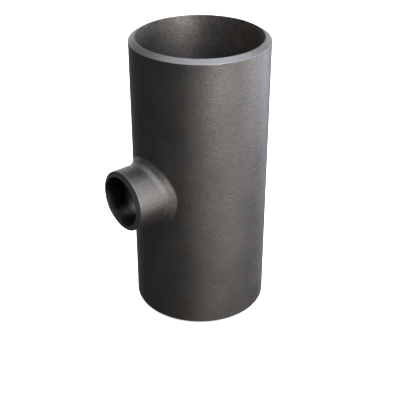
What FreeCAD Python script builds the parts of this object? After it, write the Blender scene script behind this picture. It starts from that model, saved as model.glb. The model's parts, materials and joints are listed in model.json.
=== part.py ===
import FreeCAD, Part
import Sketcher
import math
import os

# A reducing butt weld tee: one seamless steel fitting. A long straight run has a smaller outlet
# drawn out of its side at mid length. All three ends are turned to a weld bevel with a narrow land.
#
# Frame: millimetres. The origin is where the run's axis and the outlet's axis cross. The run lies
# along Z and stands on its lower end, and the outlet points along +X.

DRIVING_SIZES = (
    ("run_outside_dia", 60.3, "outside diameter of the run"),
    ("run_wall", 2.9, "wall of the run"),
    ("run_centre_to_end", 64.0, "from the outlet's axis to each end of the run"),
    ("outlet_outside_dia", 26.9, "outside diameter of the outlet"),
    ("outlet_wall", 2.3, "wall of the outlet"),
    ("outlet_centre_to_end", 44.0, "from the run's axis to the end of the outlet"),
    ("saddle_width", 2.7, "width of the saddle round the outlet, on the run and on the outlet alike"),
    ("saddle_foot_hollow", 2.0, "radius of the hollow where the saddle meets the run"),
    ("saddle_neck_hollow", 4.5, "radius of the hollow where the saddle meets the outlet"),
    ("crotch_reach", 15.0, "radius about the outlet's axis where the inner blend leaves the bore"),
    ("bevel_angle", 31.0, "angle in degrees between a weld bevel and its end plane"),
    ("weld_land", 0.4, "width of the flat ring left at each end, inside the bevel"),
    ("cut_overrun", 5.0, "how far a bore or a bevel cut runs past the face that it cuts"),
)

RUN_RADIUS = "Sizes.run_outside_dia / 2"
RUN_BORE_RADIUS = "Sizes.run_outside_dia / 2 - Sizes.run_wall"
OUTLET_RADIUS = "Sizes.outlet_outside_dia / 2"
OUTLET_BORE_RADIUS = "Sizes.outlet_outside_dia / 2 - Sizes.outlet_wall"
RUN_END = "Sizes.run_centre_to_end"
OUTLET_END = "Sizes.outlet_centre_to_end"
OVERRUN = "Sizes.cut_overrun"

# The inner blend is tightest above and below the outlet and widest at its two sides. A rod along
# the outlet is made of quarters, so that the edge where it leaves the run is divided there.
QUARTERS = 4
QUARTER_TURN = 90.0

# Points closer than this are the same point.
SAME_POINT = 1e-4

UP = FreeCAD.Vector(0, 0, 1)
OUTWARDS = FreeCAD.Vector(1, 0, 0)
FACING_UP = FreeCAD.Rotation()
FACING_DOWN = FreeCAD.Rotation(OUTWARDS, 180)
FACING_OUTWARDS = FreeCAD.Rotation(UP, OUTWARDS)


def write_sizes(doc):
    """Put every driving size in the sheet, with its meaning beside it."""
    sheet = doc.addObject("Spreadsheet::Sheet", "Sizes")
    for row, (alias, value, meaning) in enumerate(DRIVING_SIZES, start=1):
        sheet.set(f"A{row}", meaning)
        sheet.set(f"B{row}", str(value))
        sheet.setAlias(f"B{row}", alias)
    doc.recompute()


# Round forms

def run_rod(doc, name, radius, overrun):
    """A solid round rod along Z, as long as the run plus an overrun at each end."""
    rod = doc.addObject("Part::Cylinder", name)
    rod.setExpression("Radius", radius)
    rod.setExpression("Height", f"2 * ({RUN_END} + {overrun})")
    rod.setExpression("Placement.Base.z", f"-({RUN_END} + {overrun})")
    return rod


def outlet_quarter(doc, name, radius, overrun, index):
    """A quarter of the solid round rod that reaches from the origin along +X."""
    quarter = doc.addObject("Part::Cylinder", f"{name}_{index}")
    quarter.setExpression("Radius", radius)
    quarter.setExpression("Height", f"{OUTLET_END} + {overrun}")
    quarter.Angle = QUARTER_TURN
    turn = FreeCAD.Rotation(OUTWARDS, index * QUARTER_TURN)
    quarter.Placement = FreeCAD.Placement(FreeCAD.Vector(), turn.multiply(FACING_OUTWARDS))
    return quarter


def crossed_rods(doc, name, run_radius, outlet_radius, overrun):
    """A rod along Z with a smaller one out of its side, and the radius of each in millimetres."""
    run = run_rod(doc, f"{name}_run", run_radius, overrun)
    quarters = [
        outlet_quarter(doc, f"{name}_outlet", outlet_radius, overrun, index)
        for index in range(QUARTERS)
    ]
    cross = doc.addObject("Part::MultiFuse", f"{name}_cross")
    cross.Shapes = [run, *quarters]
    cross.Refine = False
    doc.recompute()
    return cross, run.Radius.Value, quarters[0].Radius.Value


# Finding edges

def from_run_axis(point):
    return math.hypot(point.x, point.y)


def from_outlet_axis(point):
    return math.hypot(point.y, point.z)


def edges_where(shape, holds):
    """Number and middle of each edge for which a test holds at its ends and its middle."""
    found = []
    for number, edge in enumerate(shape.Edges, start=1):
        middle = edge.valueAt((edge.FirstParameter + edge.LastParameter) / 2)
        if all(holds(point) for point in (middle, *(vertex.Point for vertex in edge.Vertexes))):
            found.append((number, middle))
    return found


def crossing_edges(cross, run_radius, outlet_radius):
    """The edges where the outlet leaves the run."""
    def lies_on_both(point):
        on_run = abs(from_run_axis(point) - run_radius) < SAME_POINT
        return on_run and abs(from_outlet_axis(point) - outlet_radius) < SAME_POINT

    return edges_where(cross.Shape, lies_on_both)


def rim_edges(saddle, from_axis, radius, from_other_axis, limit):
    """The edges where the saddle meets one tube, all within a limit from the other tube's axis."""
    def lies_on_rim(point):
        on_tube = abs(from_axis(point) - radius) < SAME_POINT
        return on_tube and from_other_axis(point) < limit

    return edges_where(saddle.Shape, lies_on_rim)


# The saddle round the outlet, on the outside

def saddled_cross(doc):
    """The tee's outside. A narrow sloping saddle leads from the outlet to the run."""
    cross, *radii = crossed_rods(doc, "outside", RUN_RADIUS, OUTLET_RADIUS, "0")
    width = doc.Sizes.saddle_width
    saddle = doc.addObject("Part::Chamfer", "saddle")
    saddle.Base = cross
    saddle.Edges = [(number, width, width) for number, _ in crossing_edges(cross, *radii)]
    doc.recompute()

    run_radius, outlet_radius = radii
    near_outlet = outlet_radius + 2 * width
    near_run = run_radius + 2 * width
    foot = rim_edges(saddle, from_run_axis, run_radius, from_outlet_axis, near_outlet)
    neck = rim_edges(saddle, from_outlet_axis, outlet_radius, from_run_axis, near_run)
    hollowed = doc.addObject("Part::Fillet", "hollowed_saddle")
    hollowed.Base = saddle
    hollowed.Edges = [
        (number, radius, radius)
        for rim, radius in (
            (foot, doc.Sizes.saddle_foot_hollow),
            (neck, doc.Sizes.saddle_neck_hollow),
        )
        for number, _ in rim
    ]
    return hollowed


# The blend between the two bores, inside

def blend_radius(angle, run_radius, outlet_radius, reach):
    """Radius of the ball that rolls round the outlet, at an angle about the outlet's axis.

    The ball touches the run and the outlet. Its radius is the one that makes it touch the run on a
    circle of the given reach about the outlet's axis, and it is found by halving.
    """
    low = 0.0
    high = run_radius
    while high - low > SAME_POINT:
        radius = (low + high) / 2
        sideways = (outlet_radius + radius) * math.cos(angle) * run_radius / (run_radius + radius)
        upwards = (outlet_radius + radius) * math.sin(angle)
        if math.hypot(sideways, upwards) < reach:
            low = radius
        else:
            high = radius
    return (low + high) / 2


def blended_cross(doc):
    """The two bores as one solid, with a rolling blend where the outlet's bore leaves the run's."""
    cross, *radii = crossed_rods(doc, "bores", RUN_BORE_RADIUS, OUTLET_BORE_RADIUS, OVERRUN)
    quarter_turn = math.radians(QUARTER_TURN)
    rolled = []
    for number, middle in crossing_edges(cross, *radii):
        start = quarter_turn * math.floor(math.atan2(middle.z, middle.y) / quarter_turn)
        end_radii = [
            blend_radius(angle, *radii, doc.Sizes.crotch_reach)
            for angle in (start, start + quarter_turn)
        ]
        rolled.append((number, *end_radii))
    blend = doc.addObject("Part::Fillet", "crotch")
    blend.Base = cross
    blend.Edges = rolled
    return blend


# The weld bevels

def origin_feature(body, role):
    """The body's own origin plane or axis with the given role."""
    return next(item for item in body.Origin.OriginFeatures if item.Role == role)


def draw_bevel_section(sketch, outside_radius, bore_radius, end):
    """Draw what the bevel tool turns away, with radius across and height upwards.

    The sloping side starts at the outer edge of the land and falls outwards at the bevel angle.
    """
    land_corner = FreeCAD.Vector(28, 64, 0)
    low_corner = FreeCAD.Vector(35, 60, 0)
    high_corner = FreeCAD.Vector(35, 69, 0)
    inner_corner = FreeCAD.Vector(28, 69, 0)
    corners = [land_corner, low_corner, high_corner, inner_corner]
    sloping, outer, top, inner = [
        sketch.addGeometry(Part.LineSegment(corner, corners[(number + 1) % len(corners)]), False)
        for number, corner in enumerate(corners)
    ]

    start, finish = 1, 2
    for side, following in ((sloping, outer), (outer, top), (top, inner), (inner, sloping)):
        sketch.addConstraint(Sketcher.Constraint("Coincident", side, finish, following, start))
    sketch.addConstraint(Sketcher.Constraint("Vertical", outer))
    sketch.addConstraint(Sketcher.Constraint("Horizontal", top))
    sketch.addConstraint(Sketcher.Constraint("Vertical", inner))

    centre = (-1, 1)
    land_radius = f"{bore_radius} + Sizes.weld_land"
    clear_radius = f"{outside_radius} + {OVERRUN}"
    measures = (
        ("DistanceX", centre, (sloping, start), land_corner.x, "land_radius", land_radius),
        ("DistanceX", centre, (sloping, finish), low_corner.x, "clear_radius", clear_radius),
        ("DistanceY", centre, (sloping, start), land_corner.y, "end_height", end),
        ("DistanceY", (sloping, start), (top, start), high_corner.y - land_corner.y,
         "clearance", OVERRUN),
        ("DistanceY", (sloping, finish), (sloping, start), land_corner.y - low_corner.y,
         "bevel_drop", f"(({clear_radius}) - ({land_radius})) * tan(Sizes.bevel_angle)"),
    )
    for kind, first, second, value, label, formula in measures:
        number = sketch.addConstraint(Sketcher.Constraint(kind, *first, *second, value))
        sketch.renameConstraint(number, label)
        sketch.setExpression(f"Constraints.{label}", formula)


def bevel_tool(doc, name, outside_radius, bore_radius, end, facing):
    """The ring that turning one end's bevel takes away, on the end that the facing gives."""
    body = doc.addObject("PartDesign::Body", name)
    sketch = body.newObject("Sketcher::SketchObject", f"{name}_section")
    sketch.AttachmentSupport = [(origin_feature(body, "XZ_Plane"), "")]
    sketch.MapMode = "FlatFace"
    draw_bevel_section(sketch, outside_radius, bore_radius, end)
    turned = body.newObject("PartDesign::Revolution", f"{name}_turned")
    turned.Profile = sketch
    turned.ReferenceAxis = (sketch, ["V_Axis"])
    turned.Angle = 360.0
    body.Placement = FreeCAD.Placement(FreeCAD.Vector(), facing)
    return body


# The tee

def cut_away(doc, name, base, tool):
    """The base without what the tool takes up."""
    result = doc.addObject("Part::Cut", name)
    result.Base = base
    result.Tool = tool
    return result


def tee_body(doc):
    """The whole fitting: formed outside, bored through, and bevelled at its three ends."""
    bored = cut_away(doc, "bored_tee", saddled_cross(doc), blended_cross(doc))
    bevels = doc.addObject("Part::MultiFuse", "bevels")
    bevels.Shapes = [
        bevel_tool(doc, "upper_bevel", RUN_RADIUS, RUN_BORE_RADIUS, RUN_END, FACING_UP),
        bevel_tool(doc, "lower_bevel", RUN_RADIUS, RUN_BORE_RADIUS, RUN_END, FACING_DOWN),
        bevel_tool(doc, "outlet_bevel", OUTLET_RADIUS, OUTLET_BORE_RADIUS, OUTLET_END,
                   FACING_OUTWARDS),
    ]
    tee = cut_away(doc, "finished_tee", bored, bevels)
    tee.Label = "tee_body"
    tee.Placement = FreeCAD.Placement()
    return tee


def check_built(doc):
    """Stop if any object failed to build or has no sound shape."""
    for item in doc.Objects:
        failed = {"Invalid", "Error"} & set(item.State)
        shape = getattr(item, "Shape", None)
        if failed or (shape is not None and (shape.isNull() or not shape.isValid())):
            raise RuntimeError(f"{item.Label} did not build: {item.State}")


def write_parts(parts):
    """Write each piece to its own file, named after it."""
    os.makedirs("parts", exist_ok=True)
    for piece in parts:
        piece.Shape.exportStep(f"parts/{piece.Label}.step")
        volume = piece.Shape.Volume
        print(f"{piece.Label}: {len(piece.Shape.Solids)} solid, {volume:.0f} mm3")


document = FreeCAD.newDocument("ReducingTee")
write_sizes(document)
pieces = [tee_body(document)]
document.recompute()
check_built(document)
write_parts(pieces)
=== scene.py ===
import json
import math
from collections import namedtuple

import bmesh
import bpy
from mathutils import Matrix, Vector


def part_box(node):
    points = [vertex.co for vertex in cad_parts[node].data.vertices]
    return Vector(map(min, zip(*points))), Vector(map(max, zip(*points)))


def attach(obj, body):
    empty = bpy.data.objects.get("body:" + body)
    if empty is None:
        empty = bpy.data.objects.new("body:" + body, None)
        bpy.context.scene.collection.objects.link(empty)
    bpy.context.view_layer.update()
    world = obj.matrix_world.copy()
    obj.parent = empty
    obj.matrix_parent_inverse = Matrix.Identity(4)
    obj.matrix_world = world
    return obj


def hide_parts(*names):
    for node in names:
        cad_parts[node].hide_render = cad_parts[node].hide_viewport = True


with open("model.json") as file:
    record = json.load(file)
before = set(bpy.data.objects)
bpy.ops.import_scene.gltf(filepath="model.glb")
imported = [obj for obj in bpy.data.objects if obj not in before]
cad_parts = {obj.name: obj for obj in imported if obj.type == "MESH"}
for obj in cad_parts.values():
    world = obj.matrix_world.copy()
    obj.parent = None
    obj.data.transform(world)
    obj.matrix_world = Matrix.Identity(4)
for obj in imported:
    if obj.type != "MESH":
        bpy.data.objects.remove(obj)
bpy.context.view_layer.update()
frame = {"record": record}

# A reducing butt weld tee, standing on the end of its run. Its lengths are in millimetres until the
# mesh is written, and angles in radians. The run lies along Z and the outlet points along +X.

MM = 0.001

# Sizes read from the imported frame

high_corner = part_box("tee_body")[1]
mounts = {mount["name"]: mount for mount in frame["record"]["mounts"]}
RUN_END = high_corner.z / MM
OUTLET_END = high_corner.x / MM
RUN_BORE = mounts["run_bore"]["dims"]["r_mm"]
OUTLET_BORE = mounts["outlet_bore"]["dims"]["r_mm"]

# Sizes of the form that the frame does not list

RUN_WALL = 2.9
OUTLET_WALL = 2.3
RUN_RADIUS = RUN_BORE + RUN_WALL
OUTLET_RADIUS = OUTLET_BORE + OUTLET_WALL
SADDLE_WIDTH = 2.7
SADDLE_FOOT_HOLLOW = 2.0
SADDLE_NECK_HOLLOW = 4.5
CROTCH_REACH = 15.0
BEVEL_ANGLE = math.radians(31.0)
WELD_LAND = 0.4
WORN_CORNER = 0.22

# Painted shade in the bores: how much darker colour lies there, as a share, and how deep in that
# changes. In the outlet's bore it is thinner at the mouth, a painted light on the first millimetres,
# and gone past the highlight's start, a painted highlight before the bore begins to open. The run's
# bore gets more painted shade deeper in.

OUTLET_MOUTH_SHADE = 0.35
OUTLET_FULL_SHADE_DEPTH = 3.0
OUTLET_HIGHLIGHT_START = 9.4
OUTLET_HIGHLIGHT_FULL = 11.2
RUN_BORE_SHADE = 0.45
RUN_FULL_SHADE_DEPTH = 28.0

# The mesh's own grid: a window round the outlet, in even steps, and the rest of the run beside it

WINDOW_SIDES = 4
WINDOW_STEPS = 36
WINDOW_TURN = math.radians(54.0)
WINDOW_HEIGHT = 27.0
TURN_STEP = 2 * WINDOW_TURN / WINDOW_STEPS
HEIGHT_STEP = 2 * WINDOW_HEIGHT / WINDOW_STEPS
SPREAD_STEPS = 14
HOLLOW_STEPS = 8
FLAT_STEPS = 4
CROTCH_STEPS = 14
TUBE_STEPS = 8
CORNER_STEPS = 4

# The straight wall on both sides of a bevelled end, and the share of the way from a worn corner to
# the next corner where one more stop keeps the wall between them flat

END_STRAIGHT = 1.0
BESIDE_CORNER = 0.1

# Small distances: the error that halving stops at, the slack at the window's border, which serves
# for its turn too, and how far apart two vertices still count as one

HALVING_ERROR = 1e-6
BORDER_SLACK = 1e-3
SAME_PLACE = 0.002

# Finishes, in the order of the mesh's materials

SKIN, BEVEL, BORE = range(3)


# Form of the tee

def mix(first, second, share):
    """A value part of the way from one to another."""
    return first + (second - first) * share


def halved(is_low, low, high):
    """The value between two limits where a test stops holding, found by halving."""
    while high - low > HALVING_ERROR:
        middle = (low + high) / 2
        if is_low(middle):
            low = middle
        else:
            high = middle
    return (low + high) / 2


def rounded(before, corner, after, radius, steps):
    """Points of a curve of about a given radius that cuts off a corner."""
    incoming = (corner - before).normalized()
    outgoing = (after - corner).normalized()
    reach = radius * math.tan(incoming.angle(outgoing) / 2)
    start = corner - incoming * reach
    stop = corner + outgoing * reach
    points = []
    for step in range(steps + 1):
        share = step / steps
        points.append(start.lerp(corner, share).lerp(corner.lerp(stop, share), share))
    return points


def on_run(radius, turn, height):
    """A point on a wall of the run, at a turn from the outlet and a height."""
    return Vector((radius * math.cos(turn), radius * math.sin(turn), height))


def on_outlet(radius, angle, along):
    """A point on a wall of the outlet, at an angle about its axis and a distance along it."""
    return Vector((along, radius * math.cos(angle), radius * math.sin(angle)))


def beside_outlet(run_radius, angle, reach):
    """A point on a wall of the run, at an angle about the outlet's axis and a distance from it."""
    sideways = reach * math.cos(angle)
    return on_outlet(reach, angle, math.sqrt(run_radius ** 2 - sideways ** 2))


def saddle(angle):
    """Points of the saddle from the run to the outlet, hollow along both its edges."""
    crossing = beside_outlet(RUN_RADIUS, angle, OUTLET_RADIUS)
    top = crossing + Vector((SADDLE_WIDTH, 0, 0))
    above = top + Vector((SADDLE_WIDTH, 0, 0))
    reach = halved(
        lambda value: (beside_outlet(RUN_RADIUS, angle, value) - crossing).length < SADDLE_WIDTH,
        OUTLET_RADIUS,
        OUTLET_RADIUS + 2 * SADDLE_WIDTH,
    )
    foot = beside_outlet(RUN_RADIUS, angle, reach)
    beyond = beside_outlet(RUN_RADIUS, angle, reach + SADDLE_FOOT_HOLLOW)
    low_hollow = rounded(beyond, foot, top, SADDLE_FOOT_HOLLOW, HOLLOW_STEPS)
    high_hollow = rounded(foot, top, above, SADDLE_NECK_HOLLOW, HOLLOW_STEPS)
    flat = [
        low_hollow[-1].lerp(high_hollow[0], step / FLAT_STEPS) for step in range(1, FLAT_STEPS)
    ]
    return low_hollow + flat + high_hollow


def crotch(angle):
    """Points of the rolling blend from the run's bore to the outlet's bore."""
    def ball_centre(radius):
        """Where a ball lies in the wall when it touches both bores."""
        sideways = (OUTLET_BORE + radius) * math.cos(angle)
        outwards = math.sqrt((RUN_BORE + radius) ** 2 - sideways ** 2)
        return on_outlet(OUTLET_BORE + radius, angle, outwards)

    def contact_reach(radius):
        """How far from the outlet's axis that ball touches the run's bore."""
        centre = ball_centre(radius)
        return math.hypot(centre.y * RUN_BORE / (RUN_BORE + radius), centre.z)

    radius = halved(lambda value: contact_reach(value) < CROTCH_REACH, 0.0, RUN_BORE)
    centre = ball_centre(radius)
    to_run = -Vector((centre.x, centre.y, 0)).normalized()
    to_outlet = -Vector((0, centre.y, centre.z)).normalized()
    return [
        centre + radius * to_run.slerp(to_outlet, step / CROTCH_STEPS)
        for step in range(CROTCH_STEPS + 1)
    ]


def window_border(column):
    """Turn and height of the window's border at a column, counted round the outlet."""
    side, step = divmod(column, WINDOW_STEPS)
    share = 2 * step / WINDOW_STEPS - 1
    sides = [
        (WINDOW_TURN, WINDOW_HEIGHT * share),
        (-WINDOW_TURN * share, WINDOW_HEIGHT),
        (-WINDOW_TURN, -WINDOW_HEIGHT * share),
        (WINDOW_TURN * share, -WINDOW_HEIGHT),
    ]
    return sides[side]


def spread(run_radius, column, blend_edge):
    """Points on the run from the window's border to just before the edge of a blend."""
    border_turn, border_height = window_border(column)
    edge_turn = math.atan2(blend_edge.y, blend_edge.x)
    points = []
    for step in range(SPREAD_STEPS):
        share = math.sin(step / SPREAD_STEPS * math.pi / 2)
        turn = mix(border_turn, edge_turn, share)
        points.append(on_run(run_radius, turn, mix(border_height, blend_edge.z, share)))
    return points


# A stop on the way across a wall's section. Its point holds a radius and a distance along the axis
# in an end section, and a place in space elsewhere. Wear is 1 in the middle of a worn corner. Dark
# is painted shade: darker colour in the saddle's hollows, where the creases lie in shade, and in the
# bores, where it grows deeper in and thins in the outlet's bore to leave painted highlights. Across
# is the distance walked over a bevelled end, which its turning marks follow.

Stop = namedtuple("Stop", "point finish wear dark across", defaults=(0.0, 0.0, 0.0))


def bump_share(step, steps):
    """A share that rises from 0 to 1 and falls back over a number of steps."""
    return math.sin(math.pi * step / steps)


def end_section(outside_radius, bore_radius, end):
    """Stops across a bevelled end, from the outside over the bevel and the land into the bore."""
    land_radius = bore_radius + WELD_LAND
    drop = (outside_radius - land_radius) * math.tan(BEVEL_ANGLE)
    corners = [
        Vector((outside_radius, end - drop - END_STRAIGHT)),
        Vector((outside_radius, end - drop)),
        Vector((land_radius, end)),
        Vector((bore_radius, end)),
        Vector((bore_radius, end - END_STRAIGHT)),
    ]
    finishes = [SKIN, BEVEL, BEVEL, BORE]
    stops = []
    for number in range(1, len(finishes)):
        before, corner, after = corners[number - 1:number + 2]
        finish, next_finish = finishes[number - 1:number + 1]
        curve = rounded(before, corner, after, WORN_CORNER, CORNER_STEPS)
        stops.append(Stop(curve[0].lerp(before, BESIDE_CORNER), finish))
        for step, point in enumerate(curve):
            side = finish if step < CORNER_STEPS / 2 else next_finish
            stops.append(Stop(point, side, wear=bump_share(step, CORNER_STEPS)))
        stops.append(Stop(curve[-1].lerp(after, BESIDE_CORNER), next_finish))
    walked = [0.0]
    for here, following in zip(stops, stops[1:]):
        walked.append(walked[-1] + (following.point - here.point).length)
    return [stop._replace(across=distance) for stop, distance in zip(stops, walked)]


# Mesh of the tee

def outlet_bore_shade(along):
    """How much painted shade lies along the outlet's bore: less at the mouth, none in the highlight.
    """
    depth = OUTLET_END - along
    growing = mix(OUTLET_MOUTH_SHADE, 1.0, depth / OUTLET_FULL_SHADE_DEPTH)
    fading = (OUTLET_HIGHLIGHT_FULL - depth) / (OUTLET_HIGHLIGHT_FULL - OUTLET_HIGHLIGHT_START)
    return max(0.0, min(1.0, growing, fading))


def run_bore_shade(height):
    """How much painted shade lies at a height in the run's bore, more deeper in."""
    depth = RUN_END - abs(height)
    return RUN_BORE_SHADE * min(1.0, depth / RUN_FULL_SHADE_DEPTH)


def outlet_path(column):
    """Stops from the window's border outside, over the outlet's end, to the border inside."""
    angle = (column / WINDOW_STEPS - 0.5) * math.pi / 2
    outer_blend = saddle(angle)
    inner_blend = crotch(angle)
    section = end_section(OUTLET_RADIUS, OUTLET_BORE, OUTLET_END)

    path = [Stop(point, SKIN) for point in spread(RUN_RADIUS, column, outer_blend[0])]
    # The saddle's hollows get painted shade, darkest in the middle of each hollow.
    for step, point in enumerate(outer_blend):
        foot = bump_share(min(step, HOLLOW_STEPS), HOLLOW_STEPS)
        neck = bump_share(min(len(outer_blend) - 1 - step, HOLLOW_STEPS), HOLLOW_STEPS)
        path.append(Stop(point, SKIN, dark=foot + neck))
    for step in range(1, TUBE_STEPS):
        along = mix(outer_blend[-1].x, section[0].point.y, step / TUBE_STEPS)
        path.append(Stop(on_outlet(OUTLET_RADIUS, angle, along), SKIN))
    for stop in section:
        radius, along = stop.point
        dark = outlet_bore_shade(along) if stop.finish == BORE else 0.0
        path.append(stop._replace(point=on_outlet(radius, angle, along), dark=dark))
    for step in range(1, TUBE_STEPS):
        along = mix(section[-1].point.y, inner_blend[-1].x, step / TUBE_STEPS)
        path.append(Stop(on_outlet(OUTLET_BORE, angle, along), BORE, dark=outlet_bore_shade(along)))
    # Painted shade on the crotch: none at the outlet's side, a painted highlight, growing to the
    # run's.
    for step, point in enumerate(reversed(inner_blend)):
        path.append(Stop(point, BORE, dark=RUN_BORE_SHADE * step / CROTCH_STEPS))
    for point in reversed(spread(RUN_BORE, column, inner_blend[0])):
        path.append(Stop(point, BORE, dark=run_bore_shade(point.z)))
    return path


def run_heights(wall_end):
    """Heights of the rows of a wall of the run, which pass the window in even steps."""
    above = wall_end - WINDOW_HEIGHT
    steps = round(above / HEIGHT_STEP)
    upper = [WINDOW_HEIGHT + above * step / steps for step in range(1, steps)]
    window = [-WINDOW_HEIGHT + HEIGHT_STEP * step for step in range(WINDOW_STEPS + 1)]
    return [-height for height in reversed(upper)] + window + upper


def run_section():
    """Stops all the way round the run's wall, up its outside and back down its bore."""
    upper = end_section(RUN_RADIUS, RUN_BORE, RUN_END)
    lower = [
        stop._replace(point=Vector((stop.point.x, -stop.point.y))) for stop in reversed(upper)
    ]
    outside = [
        Stop(Vector((RUN_RADIUS, height)), SKIN) for height in run_heights(upper[0].point.y)
    ]
    # The run's bore gets painted shade, darker deeper in.
    inside = [
        Stop(Vector((RUN_BORE, height)), BORE, dark=run_bore_shade(height))
        for height in run_heights(upper[-1].point.y)
    ]
    return outside + upper + inside[::-1] + lower


def in_window(corners):
    """True for a face of the run's own grid that the outlet's rings replace."""
    return all(
        abs(math.atan2(corner.y, corner.x)) < WINDOW_TURN + BORDER_SLACK
        and abs(corner.z) < (WINDOW_HEIGHT + BORDER_SLACK) * MM
        for corner in corners
    )


def nowhere(corners):
    """Leaves no face out."""
    return False


def band_finish(first, second):
    """A band next to the bore is bore, and one next to a bevel is bevel."""
    return max(first.finish, second.finish)


def add_ring(mesh, stops):
    """Vertices of one ring, with what each stop says about its finish."""
    layers = mesh.verts.layers.float
    ring = []
    for stop in stops:
        vertex = mesh.verts.new(stop.point * MM)
        vertex[layers["wear"]] = stop.wear
        vertex[layers["dark"]] = stop.dark
        vertex[layers["across"]] = stop.across
        ring.append(vertex)
    return ring


def add_band(mesh, ring, next_ring, finish, is_left_out):
    """Faces between two neighbouring rings."""
    for column in range(len(ring)):
        beside = (column + 1) % len(ring)
        corners = [ring[column], ring[beside], next_ring[beside], next_ring[column]]
        if not is_left_out([corner.co for corner in corners]):
            mesh.faces.new(corners).material_index = finish


def add_outlet(mesh):
    """The window with the outlet in it, as rings from the border outside to the border inside."""
    paths = [outlet_path(column) for column in range(WINDOW_SIDES * WINDOW_STEPS)]
    rings = [add_ring(mesh, stops) for stops in zip(*paths)]
    for row, (stop, next_stop) in enumerate(zip(paths[0], paths[0][1:])):
        add_band(mesh, rings[row], rings[row + 1], band_finish(stop, next_stop), nowhere)


def add_run(mesh):
    """The run with the window left open, as rings up its outside and back down its bore."""
    section = run_section()
    turns = [TURN_STEP * step for step in range(round(2 * math.pi / TURN_STEP))]
    rings = []
    for stop in section:
        radius, height = stop.point
        stops = [stop._replace(point=on_run(radius, turn, height)) for turn in turns]
        rings.append(add_ring(mesh, stops))
    for row, stop in enumerate(section):
        next_row = (row + 1) % len(section)
        finish = band_finish(stop, section[next_row])
        add_band(mesh, rings[row], rings[next_row], finish, in_window)


def make_tee():
    """The whole fitting as one closed mesh with a finish for each face."""
    mesh = bmesh.new()
    for layer in ("wear", "dark", "across"):
        mesh.verts.layers.float.new(layer)
    add_outlet(mesh)
    add_run(mesh)
    loose = [vertex for vertex in mesh.verts if not vertex.link_faces]
    bmesh.ops.delete(mesh, geom=loose, context="VERTS")
    bmesh.ops.remove_doubles(mesh, verts=mesh.verts, dist=SAME_PLACE * MM)
    bmesh.ops.recalc_face_normals(mesh, faces=mesh.faces)
    for face in mesh.faces:
        face.smooth = True
    data = bpy.data.meshes.new("forged_tee")
    mesh.to_mesh(data)
    mesh.free()
    tee = bpy.data.objects.new("forged_tee", data)
    bpy.context.scene.collection.objects.link(tee)
    return tee


# Tools for materials

# Places of the mix node's sockets for colours, and of the mix shader's sockets, which can't be told
# apart by name

MIX_SHARE, MIX_FIRST, MIX_SECOND, MIX_RESULT = 0, 6, 7, 2
SHADER_SHARE, SHADER_FIRST, SHADER_SECOND = 0, 1, 2


def add_node(tree, kind, inputs, **settings):
    """A node with its settings, and with each input given set to a value or linked to a socket."""
    node = tree.nodes.new(kind)
    for name, value in settings.items():
        setattr(node, name, value)
    for name, value in inputs.items():
        if isinstance(value, bpy.types.NodeSocket):
            tree.links.new(value, node.inputs[name])
        else:
            node.inputs[name].default_value = value
    return node


def calculate(tree, operation, first, second):
    """The result of one operation on two values."""
    node = add_node(tree, "ShaderNodeMath", {0: first, 1: second}, operation=operation)
    return node.outputs["Value"]


def scaled(tree, value, factor):
    """A value times a factor."""
    return calculate(tree, "MULTIPLY", value, factor)


def ramp(tree, value, starts, ends, first=0.0, last=1.0):
    """A value that runs from first to last while the one given runs from starts to ends."""
    inputs = {
        "Value": value, "From Min": starts, "From Max": ends, "To Min": first, "To Max": last
    }
    return add_node(tree, "ShaderNodeMapRange", inputs).outputs["Result"]


def blend(tree, share, first, second):
    """A colour between two others."""
    inputs = {MIX_SHARE: share, MIX_FIRST: first, MIX_SECOND: second}
    return add_node(tree, "ShaderNodeMix", inputs, data_type="RGBA").outputs[MIX_RESULT]


def tinted(tree, colour, mask, tint, strength):
    """A colour with a tint over it where a mask says, at a strength."""
    return blend(tree, scaled(tree, mask, strength), colour, tint)


def roughened(tree, roughness, mask, amount):
    """A roughness with an amount added where a mask says."""
    return calculate(tree, "ADD", roughness, scaled(tree, mask, amount))


def in_millimetres(tree, stretch=(1.0, 1.0, 1.0)):
    """Places on the tee in millimetres, with each axis stretched by its own factor."""
    place = add_node(tree, "ShaderNodeTexCoord", {}).outputs["Object"]
    factors = tuple(factor / MM for factor in stretch)
    node = add_node(tree, "ShaderNodeVectorMath", {0: place, 1: factors}, operation="MULTIPLY")
    return node.outputs["Vector"]


def clouds(tree, place, scale, detail, coarseness):
    """A soft noise between 0 and 1."""
    inputs = {"Vector": place, "Scale": scale, "Detail": detail, "Roughness": coarseness}
    return add_node(tree, "ShaderNodeTexNoise", inputs).outputs["Fac"]


def attribute(tree, name):
    """What the mesh's vertices keep under a name."""
    return add_node(tree, "ShaderNodeAttribute", {}, attribute_name=name).outputs["Fac"]


def new_group(name, inputs, outputs):
    """An empty node group with named inputs, each with its usual value, and named outputs."""
    tree = bpy.data.node_groups.new(name, "ShaderNodeTree")
    for label, usual in inputs.items():
        socket = tree.interface.new_socket(label, in_out="INPUT", socket_type="NodeSocketFloat")
        socket.default_value = usual
    for label in outputs:
        tree.interface.new_socket(label, in_out="OUTPUT", socket_type="NodeSocketFloat")
    given = tree.nodes.new("NodeGroupInput").outputs
    result = tree.nodes.new("NodeGroupOutput").inputs
    return tree, given, result


def place_group(tree, name, values):
    """The outputs of a shared group, placed in a material with its own values."""
    group = bpy.data.node_groups[name]
    return add_node(tree, "ShaderNodeGroup", values, node_tree=group).outputs


# Effects that the finishes share. Sizes, depths and heights in them are in millimetres.

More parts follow.
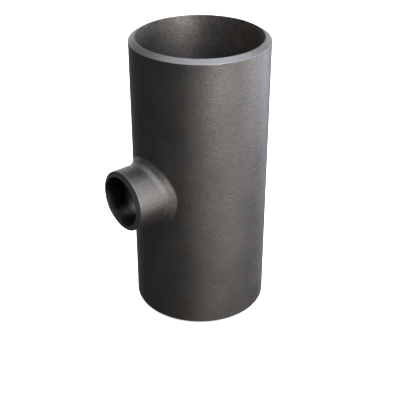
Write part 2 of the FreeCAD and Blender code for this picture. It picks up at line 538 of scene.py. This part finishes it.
def make_shot_blasting():
    """Small round pits that touch each other, with a finer roughness over them."""
    usual = {"Pit Size": 0.8, "Depth": 0.02}
    tree, given, result = new_group("shot_blasting", usual, ("Height", "Pits"))
    place = in_millimetres(tree, stretch=(0.85, 0.85, 1.2))
    scale = calculate(tree, "DIVIDE", 1.0, given["Pit Size"])
    cells = add_node(tree, "ShaderNodeTexVoronoi", {"Vector": place, "Scale": scale})
    rims = ramp(tree, cells.outputs["Distance"], starts=0.1, ends=0.8, last=0.45)
    grit_scale = scaled(tree, scale, factor=1.3)
    grit = clouds(tree, place, grit_scale, detail=3.0, coarseness=0.65)
    relief = calculate(tree, "ADD", rims, grit)
    pits = ramp(tree, relief, starts=0.45, ends=0.95, first=1.0, last=0.0)
    tree.links.new(calculate(tree, "MULTIPLY", relief, given["Depth"]), result["Height"])
    tree.links.new(pits, result["Pits"])


def make_varnish_film():
    """Soft patches where the varnish lies thicker, and level streaks where it was wiped on."""
    usual = {"Patch Size": 14.0}
    tree, given, result = new_group("varnish_film", usual, ("Thickness", "Streaks"))
    scale = calculate(tree, "DIVIDE", 1.0, given["Patch Size"])
    patches = clouds(tree, in_millimetres(tree), scale, detail=4.0, coarseness=0.6)
    level = in_millimetres(tree, stretch=(0.07, 0.07, 1.0))
    wiped = clouds(tree, level, scale=1.1, detail=2.0, coarseness=0.6)
    tree.links.new(ramp(tree, patches, starts=0.34, ends=0.66), result["Thickness"])
    tree.links.new(ramp(tree, wiped, starts=0.3, ends=0.7), result["Streaks"])


def make_worn_edge():
    """Bare metal in broken stretches along the turned corners."""
    tree, given, result = new_group("worn_edge", {"Amount": 1.0}, ("Bare",))
    breaks = clouds(tree, in_millimetres(tree), scale=0.35, detail=4.0, coarseness=0.65)
    kept = ramp(tree, breaks, starts=0.35, ends=0.6, first=0.45)
    worn = calculate(tree, "MULTIPLY", attribute(tree, "wear"), kept)
    tree.links.new(calculate(tree, "MULTIPLY", worn, given["Amount"]), result["Bare"])


def make_rust_bloom():
    """Small soft spots of rust, in groups. More cover lets fainter spots through."""
    usual = {"Spot Size": 2.0, "Cover": 0.3}
    tree, given, result = new_group("rust_bloom", usual, ("Rust",))
    faintest_without_cover = 1.25
    softness = 0.2
    place = in_millimetres(tree)
    scale = calculate(tree, "DIVIDE", 1.0, given["Spot Size"])
    group_scale = scaled(tree, scale, factor=0.15)
    spots = clouds(tree, place, scale, detail=5.0, coarseness=0.7)
    gathered = clouds(tree, place, group_scale, detail=2.0, coarseness=0.5)
    both = calculate(tree, "ADD", spots, gathered)
    lowered = scaled(tree, given["Cover"], factor=0.5)
    faintest = calculate(tree, "SUBTRACT", faintest_without_cover, lowered)
    full = calculate(tree, "ADD", faintest, softness)
    tree.links.new(ramp(tree, both, starts=faintest, ends=full), result["Rust"])


def make_formed_waves():
    """Slow waves left in a wall by forming."""
    usual = {"Wave Length": 25.0, "Depth": 0.05}
    tree, given, result = new_group("formed_waves", usual, ("Height",))
    scale = calculate(tree, "DIVIDE", 1.0, given["Wave Length"])
    waves = clouds(tree, in_millimetres(tree), scale, detail=1.0, coarseness=0.4)
    tree.links.new(calculate(tree, "MULTIPLY", waves, given["Depth"]), result["Height"])


# Finishes

# The shader counts its stretch's rotation in whole turns.

QUARTER_TURN = 0.25


def new_metal(name):
    """A material with its tree and its shader."""
    material = bpy.data.materials.new(name)
    material.use_nodes = True
    shader = material.node_tree.nodes["Principled BSDF"]
    shader.inputs["Metallic"].default_value = 1.0
    return material, material.node_tree, shader


def feed_shader(tree, shader, colour, roughness, height):
    """Link a colour, a roughness and a height in millimetres to a shader."""
    bump = add_node(tree, "ShaderNodeBump", {"Distance": MM, "Height": height})
    tree.links.new(colour, shader.inputs["Base Color"])
    tree.links.new(roughness, shader.inputs["Roughness"])
    tree.links.new(bump.outputs["Normal"], shader.inputs["Normal"])


def blasted_skin():
    """The blasted outside, under a thin dark varnish."""
    thin_varnish = (0.33, 0.30, 0.28, 1)
    thick_varnish = (0.28, 0.26, 0.25, 1)
    wiped_varnish = (0.36, 0.335, 0.315, 1)
    crease_shade_colour = (0.16, 0.145, 0.135, 1)
    dark_pit = (0.17, 0.155, 0.145, 1)
    rust = (0.26, 0.17, 0.12, 1)
    bare_metal = (0.50, 0.50, 0.51, 1)

    material, tree, shader = new_metal("blasted_skin")
    blasting = place_group(tree, "shot_blasting", {"Pit Size": 1.25, "Depth": 0.060})
    film = place_group(tree, "varnish_film", {"Patch Size": 16.0})
    edge = place_group(tree, "worn_edge", {"Amount": 0.8})
    bloom = place_group(tree, "rust_bloom", {"Spot Size": 1.8, "Cover": 0.3})
    waves = place_group(tree, "formed_waves", {"Wave Length": 22.0, "Depth": 0.02})
    # Painted shade in the saddle's hollows, read from the mesh.
    crease_shade = attribute(tree, "dark")

    colour = blend(tree, film["Thickness"], thin_varnish, thick_varnish)
    colour = tinted(tree, colour, film["Streaks"], wiped_varnish, strength=0.35)
    colour = tinted(tree, colour, blasting["Pits"], dark_pit, strength=0.35)
    colour = tinted(tree, colour, bloom["Rust"], rust, strength=0.3)
    # Painted shade: darker colour where the saddle's creases lie in shade.
    colour = tinted(tree, colour, crease_shade, crease_shade_colour, strength=0.3)
    colour = blend(tree, edge["Bare"], colour, bare_metal)

    roughness = ramp(tree, film["Thickness"], starts=0.0, ends=1.0, first=0.45, last=0.39)
    roughness = roughened(tree, roughness, blasting["Pits"], amount=0.07)
    roughness = roughened(tree, roughness, crease_shade, amount=0.1)
    height = calculate(tree, "ADD", blasting["Height"], waves["Height"])
    feed_shader(tree, shader, colour, roughness, height)
    return material


def turning_marks(tree, spacing):
    """Grooves of a turning tool, which run round a bevel at about one spacing."""
    across = scaled(tree, attribute(tree, "across"), 1.0 / spacing)
    inputs = {"W": across, "Scale": 1.0, "Detail": 1.0}
    return add_node(tree, "ShaderNodeTexNoise", inputs, noise_dimensions="1D").outputs["Fac"]


def turned_bevel():
    """A weld bevel with its turning marks, under the same varnish."""
    thin_varnish = (0.415, 0.41, 0.40, 1)
    thick_varnish = (0.35, 0.34, 0.335, 1)
    groove = (0.22, 0.22, 0.225, 1)
    rust = (0.30, 0.19, 0.13, 1)
    bare_metal = (0.60, 0.60, 0.61, 1)
    groove_depth = 0.012

    material, tree, shader = new_metal("turned_bevel")
    blasting = place_group(tree, "shot_blasting", {"Pit Size": 0.4, "Depth": 0.003})
    film = place_group(tree, "varnish_film", {"Patch Size": 9.0})
    edge = place_group(tree, "worn_edge", {"Amount": 1.0})
    bloom = place_group(tree, "rust_bloom", {"Spot Size": 1.2, "Cover": 0.4})
    coarse = scaled(tree, turning_marks(tree, spacing=0.5), factor=0.65)
    fine = scaled(tree, turning_marks(tree, spacing=0.15), factor=0.35)
    marks = calculate(tree, "ADD", coarse, fine)
    grooved = ramp(tree, marks, starts=0.35, ends=0.65, first=0.4, last=0.0)

    colour = blend(tree, film["Thickness"], thin_varnish, thick_varnish)
    colour = blend(tree, grooved, colour, groove)
    colour = tinted(tree, colour, bloom["Rust"], rust, strength=0.35)
    colour = blend(tree, edge["Bare"], colour, bare_metal)

    roughness = ramp(tree, film["Thickness"], starts=0.0, ends=1.0, first=0.48, last=0.42)
    height = calculate(tree, "ADD", blasting["Height"], scaled(tree, marks, groove_depth))
    feed_shader(tree, shader, colour, roughness, height)
    return material


def lay_marks_round_run(tree, shader):
    """Fine marks too small to see, level round the run's axis, which spread light up and down."""
    around = add_node(tree, "ShaderNodeTangent", {}, direction_type="RADIAL", axis="Z")
    tree.links.new(around.outputs["Tangent"], shader.inputs["Tangent"])
    shader.inputs["Anisotropic"].default_value = 0.55
    shader.inputs["Anisotropic Rotation"].default_value = QUARTER_TURN


def bore_scale():
    """The bores, with a brown bloom on the scale from forming."""
    thin_varnish = (0.51, 0.48, 0.45, 1)
    thick_varnish = (0.45, 0.42, 0.40, 1)
    rust = (0.28, 0.205, 0.155, 1)
    dark_pit = (0.15, 0.13, 0.12, 1)
    bore_shade_colour = (0.042, 0.041, 0.041, 1)
    bare_metal = (0.45, 0.445, 0.44, 1)

    material, tree, shader = new_metal("bore_scale")
    lay_marks_round_run(tree, shader)
    blasting = place_group(tree, "shot_blasting", {"Pit Size": 1.15, "Depth": 0.06})
    film = place_group(tree, "varnish_film", {"Patch Size": 9.0})
    edge = place_group(tree, "worn_edge", {"Amount": 0.7})
    bloom = place_group(tree, "rust_bloom", {"Spot Size": 1.0, "Cover": 0.7})
    waves = place_group(tree, "formed_waves", {"Wave Length": 14.0, "Depth": 0.03})
    # The dark attribute carries painted shade deep in the bores, with painted highlights where it
    # thins.
    scale = attribute(tree, "dark")

    colour = blend(tree, film["Thickness"], thin_varnish, thick_varnish)
    colour = tinted(tree, colour, bloom["Rust"], rust, strength=0.4)
    colour = tinted(tree, colour, blasting["Pits"], dark_pit, strength=0.5)
    # Painted shade over the bore's colour.
    colour = tinted(tree, colour, scale, bore_shade_colour, strength=0.94)
    colour = blend(tree, edge["Bare"], colour, bare_metal)

    roughness = ramp(tree, film["Thickness"], starts=0.0, ends=1.0, first=0.50, last=0.46)
    roughness = roughened(tree, roughness, bloom["Rust"], amount=0.12)
    roughness = roughened(tree, roughness, scale, amount=-0.1)
    height = calculate(tree, "ADD", blasting["Height"], waves["Height"])
    feed_shader(tree, shader, colour, roughness, height)
    return material


# Camera. Its place is in millimetres from the tee's centre.

CAMERA_BEARING = math.radians(50.35)
CAMERA_DISTANCE = 338.9
CAMERA_HEIGHT = 181.5
CAMERA_PITCH = math.radians(30.14)
CAMERA_LENS = 76.15
CAMERA_SENSOR = 36.0


def make_camera():
    """The photograph's camera, held level and looking down at the tee."""
    data = bpy.data.cameras.new("camera")
    data.sensor_width = CAMERA_SENSOR
    data.lens = CAMERA_LENS
    data.clip_start = 0.01
    data.clip_end = 20.0
    camera = bpy.data.objects.new("camera", data)
    away = Vector((math.cos(CAMERA_BEARING), math.sin(CAMERA_BEARING), 0))
    camera.location = (away * CAMERA_DISTANCE + Vector((0, 0, CAMERA_HEIGHT))) * MM
    look = -away * math.cos(CAMERA_PITCH) - Vector((0, 0, math.sin(CAMERA_PITCH)))
    camera.rotation_mode = "QUATERNION"
    camera.rotation_quaternion = look.to_track_quat("-Z", "Y")
    bpy.context.scene.collection.objects.link(camera)
    bpy.context.scene.camera = camera


# Stage and lights. Their lengths are in metres.

# Tints of the lights, from warm to cold

WARM = (1.00, 0.94, 0.88)
WHITE = (1.00, 1.00, 1.00)
CRISP = (0.92, 0.96, 1.00)
COOL = (0.85, 0.91, 1.00)
COLD = (0.72, 0.84, 1.00)

# A softbox stands at a bearing in degrees to the right of the camera, as seen from the tee, and at
# an elevation in degrees. Its power is in watts. The cards stand below the floor. They take the
# place of the lit table top, which the tee's wall mirrors more strongly on its right.

SOFTBOX_DISTANCE = 0.6

Softbox = namedtuple("Softbox", "name bearing elevation width height power colour")

SOFTBOXES = [
    Softbox("front_right", 30, 15, 0.35, 0.35, 1.60, WHITE),
    Softbox("front_right_side", 46, 18, 0.30, 0.35, 0.35, WARM),
    Softbox("front_right_high", 62, 38, 0.35, 0.30, 0.20, CRISP),
    Softbox("side_right", 88, -2, 0.30, 0.40, 0.75, COOL),
    Softbox("rim_right", 120, 0, 0.30, 0.45, 0.95, COLD),
    Softbox("rim_left", -166, 4, 0.30, 0.45, 0.35, CRISP),
    Softbox("card_front", 28, -26, 0.35, 0.25, 0.10, WHITE),
    Softbox("card_right", 60, -20, 0.35, 0.30, 0.20, WARM),
    Softbox("card_left", 0, -28, 0.25, 0.30, 0.05, WARM),
    Softbox("card_edge_right", 138, -24, 0.30, 0.35, 0.10, WHITE),
    Softbox("card_edge_left", -150, -24, 0.30, 0.35, 0.05, CRISP),
    Softbox("overhead", 0, 88, 0.60, 0.60, 1.15, CRISP),
    Softbox("overhead_front", 35, 62, 0.40, 0.35, 0.85, COLD),
    Softbox("overhead_right", 110, 50, 0.40, 0.35, 0.50, COOL),
    Softbox("overhead_back", 180, 60, 0.60, 0.40, 0.30, COOL),
    Softbox("back_left", -145, 14, 0.35, 0.40, 0.20, CRISP),
    Softbox("back_right", 150, 14, 0.35, 0.40, 0.40, WHITE),
]

# The room and the floor

AMBIENT_STRENGTH = 0.055
FLOOR_SIZE = 6.0
FLOOR_COLOUR = (0.9, 0.9, 0.9, 1)
FLOOR_GLOW = 0.6


def add_softbox(softbox):
    """A light that faces the tee and that the camera doesn't see."""
    data = bpy.data.lights.new(softbox.name, "AREA")
    data.shape = "RECTANGLE"
    data.size = softbox.width
    data.size_y = softbox.height
    data.energy = softbox.power
    data.color = softbox.colour
    light = bpy.data.objects.new(softbox.name, data)
    light.visible_camera = False
    turn = CAMERA_BEARING + math.radians(softbox.bearing)
    rise = math.radians(softbox.elevation)
    level = Vector((math.cos(turn), math.sin(turn), 0))
    away = level * math.cos(rise) + Vector((0, 0, math.sin(rise)))
    light.location = away * SOFTBOX_DISTANCE
    light.rotation_mode = "QUATERNION"
    light.rotation_quaternion = (-away).to_track_quat("-Z", "Y")
    bpy.context.scene.collection.objects.link(light)


def make_floor():
    """A pale floor. It blocks no light and the tee doesn't mirror it, so the cards reach the tee."""
    bpy.ops.mesh.primitive_plane_add(size=FLOOR_SIZE, location=(0, 0, -RUN_END * MM))
    floor = bpy.context.object
    floor.name = "floor"
    material = bpy.data.materials.new("pale_floor")
    material.use_nodes = True
    shader = material.node_tree.nodes["Principled BSDF"]
    shader.inputs["Base Color"].default_value = FLOOR_COLOUR
    shader.inputs["Roughness"].default_value = 1.0
    shader.inputs["Specular IOR Level"].default_value = 0.0
    shader.inputs["Emission Color"].default_value = (*WHITE, 1)
    shader.inputs["Emission Strength"].default_value = FLOOR_GLOW
    floor.data.materials.append(material)
    floor.visible_shadow = False
    floor.visible_glossy = False
    floor.visible_diffuse = False
    return floor


def make_floor_wash(floor, strength, spread_angle):
    """A wide soft light for the floor alone, in which the tee leaves a faint shadow."""
    data = bpy.data.lights.new("floor_wash", "SUN")
    data.energy = strength
    data.angle = math.radians(spread_angle)
    light = bpy.data.objects.new("floor_wash", data)
    lit = bpy.data.collections.new("lit_by_floor_wash")
    lit.objects.link(floor)
    light.light_linking.receiver_collection = lit
    bpy.context.scene.collection.objects.link(light)


def make_world():
    """A white room for the camera, which lights the tee only weakly."""
    world = bpy.data.worlds.new("white_room")
    world.use_nodes = True
    tree = world.node_tree
    tree.nodes.clear()
    seen = add_node(tree, "ShaderNodeBackground", {"Color": (*WHITE, 1)})
    ambient = add_node(tree, "ShaderNodeBackground", {
        "Color": (*CRISP, 1), "Strength": AMBIENT_STRENGTH,
    })
    chosen = add_node(tree, "ShaderNodeMixShader", {
        SHADER_SHARE: add_node(tree, "ShaderNodeLightPath", {}).outputs["Is Camera Ray"],
        SHADER_FIRST: ambient.outputs["Background"],
        SHADER_SECOND: seen.outputs["Background"],
    })
    add_node(tree, "ShaderNodeOutputWorld", {"Surface": chosen.outputs["Shader"]})
    bpy.context.scene.world = world


make_camera()
make_world()
make_floor_wash(make_floor(), strength=5.5, spread_angle=90)
for softbox in SOFTBOXES:
    add_softbox(softbox)

make_shot_blasting()
make_varnish_film()
make_worn_edge()
make_rust_bloom()
make_formed_waves()

tee = make_tee()
for material in (blasted_skin(), turned_bevel(), bore_scale()):
    tee.data.materials.append(material)

bpy.context.scene.view_settings.view_transform = "Standard"

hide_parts("tee_body")
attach(tee, "root")
